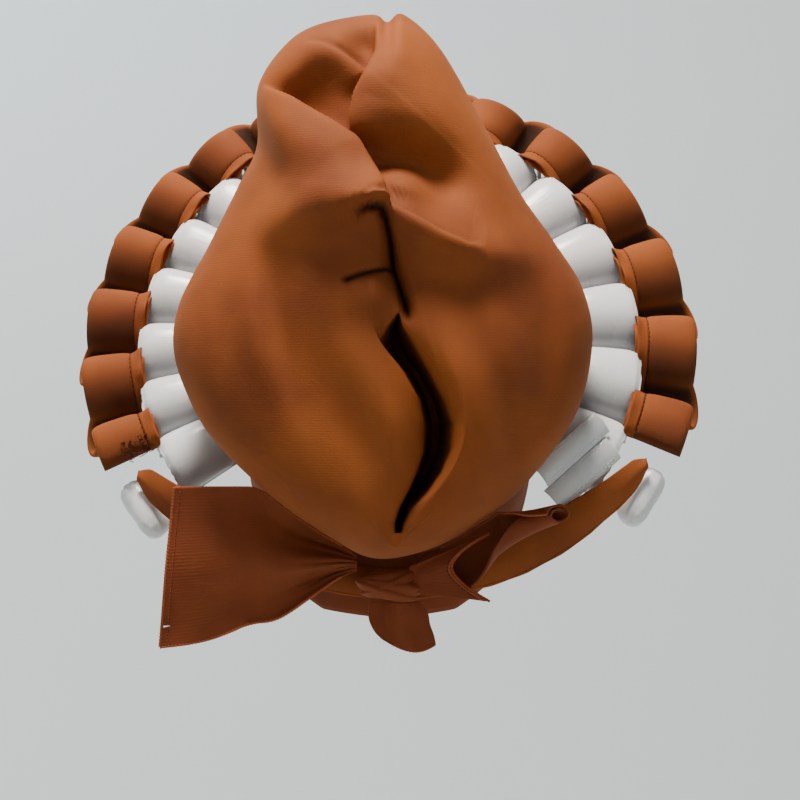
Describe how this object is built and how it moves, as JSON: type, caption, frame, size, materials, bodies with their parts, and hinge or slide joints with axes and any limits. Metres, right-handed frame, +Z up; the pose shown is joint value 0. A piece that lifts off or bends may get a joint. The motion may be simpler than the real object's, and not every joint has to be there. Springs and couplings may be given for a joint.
{
  "type": "tied gele head tie",
  "caption": "Worn head wrap: gathered pouch on a fitted cap, woven padded halo, tied with loose tails at the nape.",
  "frame": {"origin": "inside of the cap where it bears on the crown of the head", "axes": "+Z up from the crown, +Y the way the wearer faces, +X to the wearer's right as seen from behind"},
  "size_m": [0.3433, 0.2549, 0.317],
  "materials": {
    "rust_crepe": "matte",
    "white_satin": "satin"
  },
  "bodies": {
    "root": {"crown_bag": "rust_crepe", "inner_cap": "rust_crepe", "rust_band": "rust_crepe", "strap_left": "rust_crepe", "strap_right": "rust_crepe", "tie_end_flared": "rust_crepe", "tie_end_short": "rust_crepe", "tie_knot": "rust_crepe", "tie_tail_left": "rust_crepe", "tie_tail_right": "rust_crepe", "weft_01": "white_satin", "weft_02": "white_satin", "weft_03": "white_satin", "weft_04": "white_satin", "weft_05": "white_satin", "weft_06": "white_satin", "weft_07": "white_satin", "weft_08": "white_satin", "weft_09": "white_satin", "weft_10": "white_satin", "weft_11": "white_satin", "weft_12": "white_satin", "weft_13": "white_satin", "weft_14": "white_satin", "weft_15": "white_satin", "weft_16": "white_satin", "weft_17": "white_satin", "weft_18": "white_satin", "weft_19": "white_satin", "weft_20": "white_satin", "weft_21": "white_satin", "weft_22": "white_satin", "weft_23": "white_satin", "weft_24": "white_satin", "weft_25": "white_satin", "weft_26": "white_satin", "weft_27": "white_satin", "weft_28": "white_satin", "weft_29": "white_satin", "white_band": "white_satin", "white_end_flap": "white_satin", "white_end_roll_left": "white_satin", "white_end_roll_right": "white_satin"}
  },
  "joints": []
}
